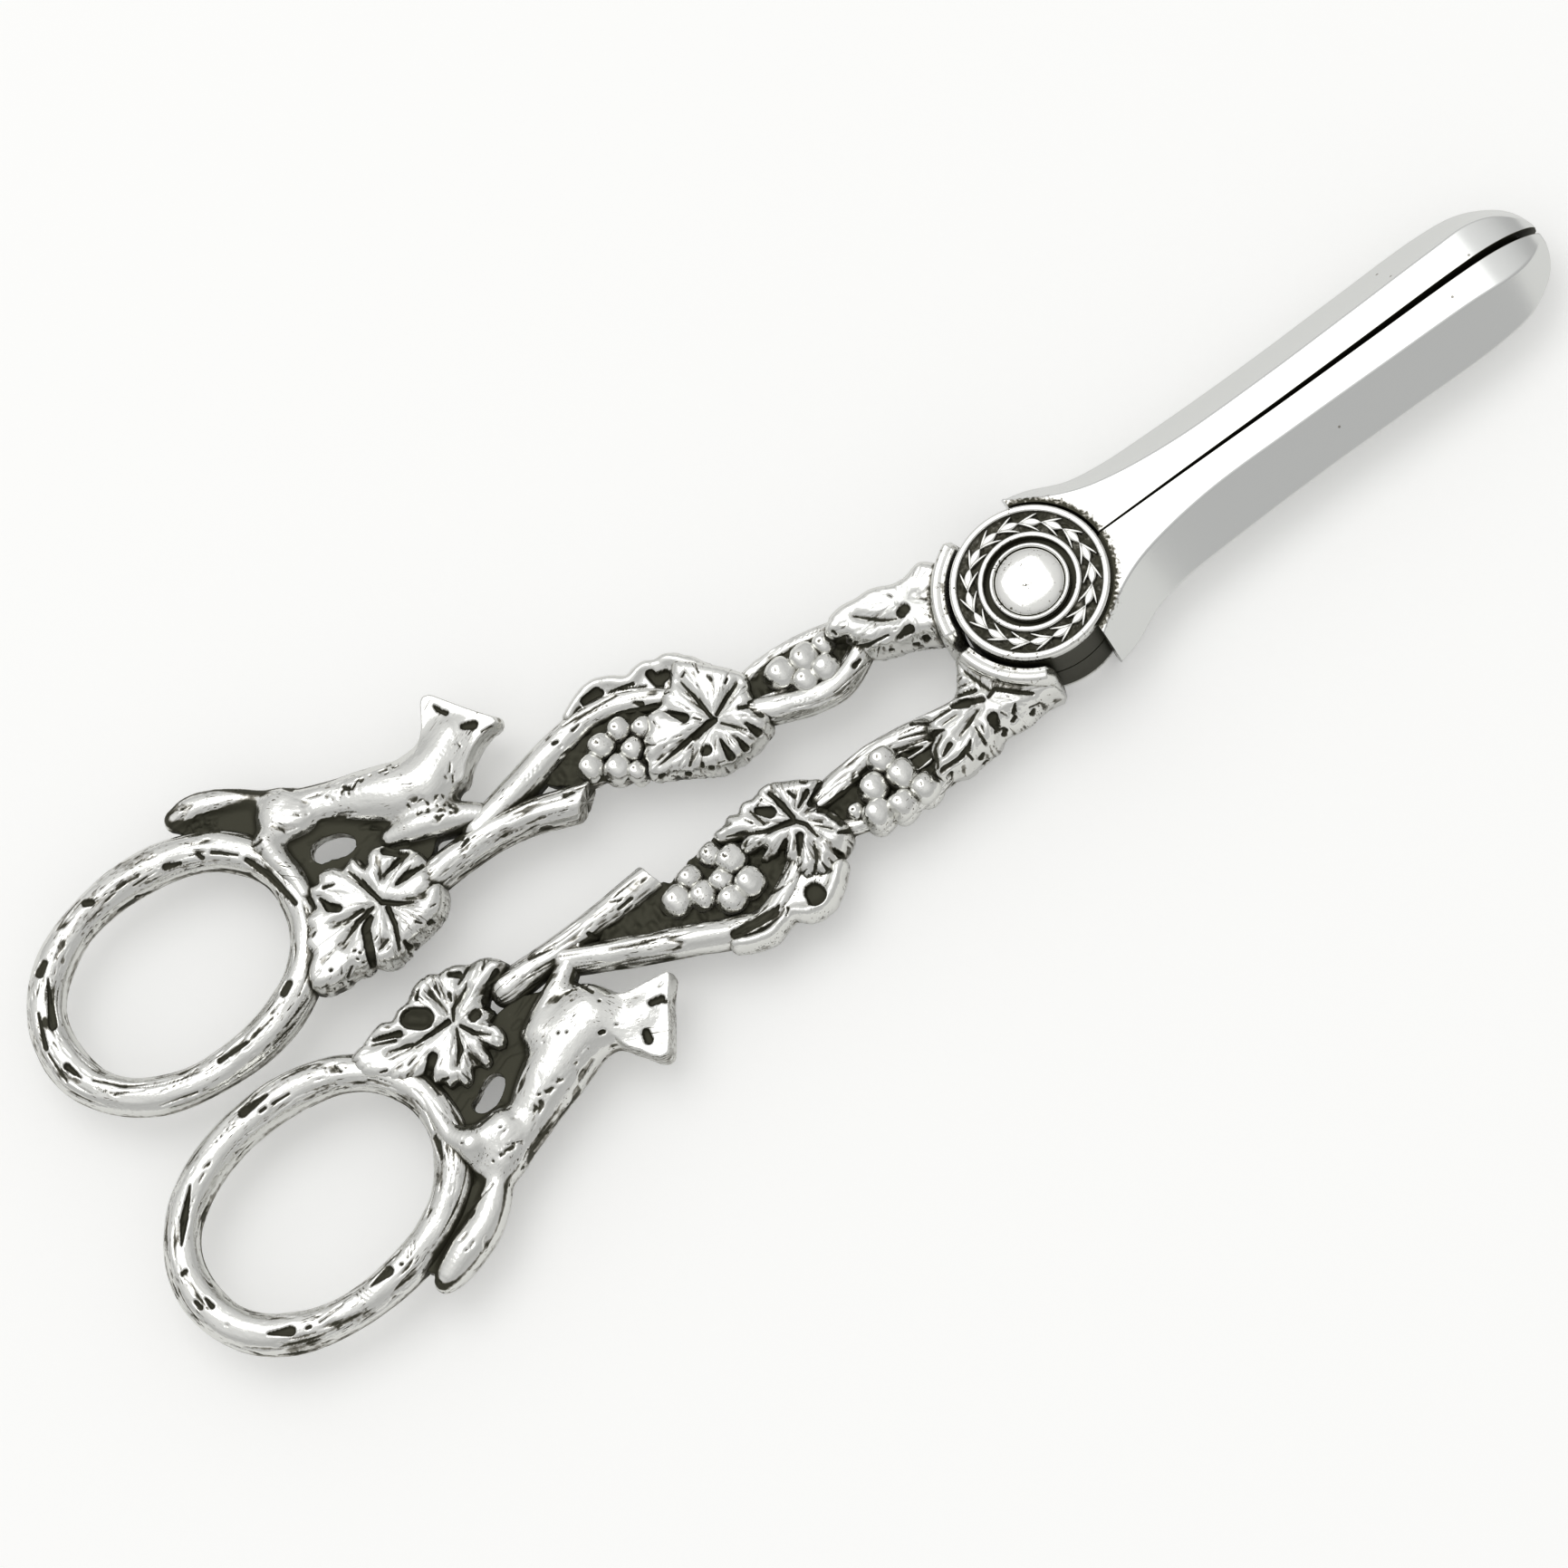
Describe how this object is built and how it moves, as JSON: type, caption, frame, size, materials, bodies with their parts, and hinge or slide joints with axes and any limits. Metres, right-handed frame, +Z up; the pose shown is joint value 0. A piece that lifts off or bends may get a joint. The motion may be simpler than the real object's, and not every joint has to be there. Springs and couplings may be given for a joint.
{
  "type": "grape shears",
  "caption": "Scissor-like shears for cutting grapes at table: two cast vine arms with finger rings and running foxes, a wreathed pivot, and thick tapered blades.",
  "frame": {"origin": "pivot axis, on the flat back of the pivot that the shears lie on", "axes": "+X along the closed blades to their tips, +Y to the front arm's handle, +Z up from the back to the wreathed face"},
  "size_m": [0.179, 0.0622, 0.0114],
  "materials": {
    "vine_silver": "cast silver, polished on its high parts and oxidised olive brown in its recesses",
    "fox_silver": "cast silver, polished, with oxidised eyes, ears and fur strokes",
    "grape_silver": "cast silver beads, polished on top over an oxidised ground",
    "joint_silver": "turned and polished silver with an oxidised wreath ground and grooves",
    "blade_silver": "ground and polished flat facets with fine wear scratches"
  },
  "bodies": {
    "back_arm": {"back_finger_ring": "vine_silver", "back_ring_leaf": "vine_silver", "back_fox": "fox_silver", "back_cut_cane": "vine_silver", "back_outer_shoot": "vine_silver", "back_cane_leaf": "vine_silver", "back_tendril": "vine_silver", "back_cane_grapes": "grape_silver", "back_forked_shoots": "vine_silver", "back_fork_grapes": "grape_silver", "back_shoulder_leaf": "vine_silver", "back_collar": "joint_silver", "back_blade": "blade_silver", "back_boss": "joint_silver"},
    "front_arm": {"front_finger_ring": "vine_silver", "front_ring_leaf": "vine_silver", "front_fox": "fox_silver", "front_cut_cane": "vine_silver", "front_outer_shoot": "vine_silver", "front_cane_leaf": "vine_silver", "front_tendril": "vine_silver", "front_cane_grapes": "grape_silver", "front_forked_shoots": "vine_silver", "front_fork_grapes": "grape_silver", "front_shoulder_leaf": "vine_silver", "front_collar": "joint_silver", "front_blade": "blade_silver", "wreath_boss": "joint_silver", "pivot_screw": "joint_silver", "pivot_nut": "joint_silver"}
  },
  "joints": [
    {"name": "pivot", "type": "hinge", "parent": "back_arm", "child": "front_arm", "pos_m": [0, 0, 0.0054], "axis": [0, 0, -1], "range_deg": [-0.5, 35]}
  ]
}
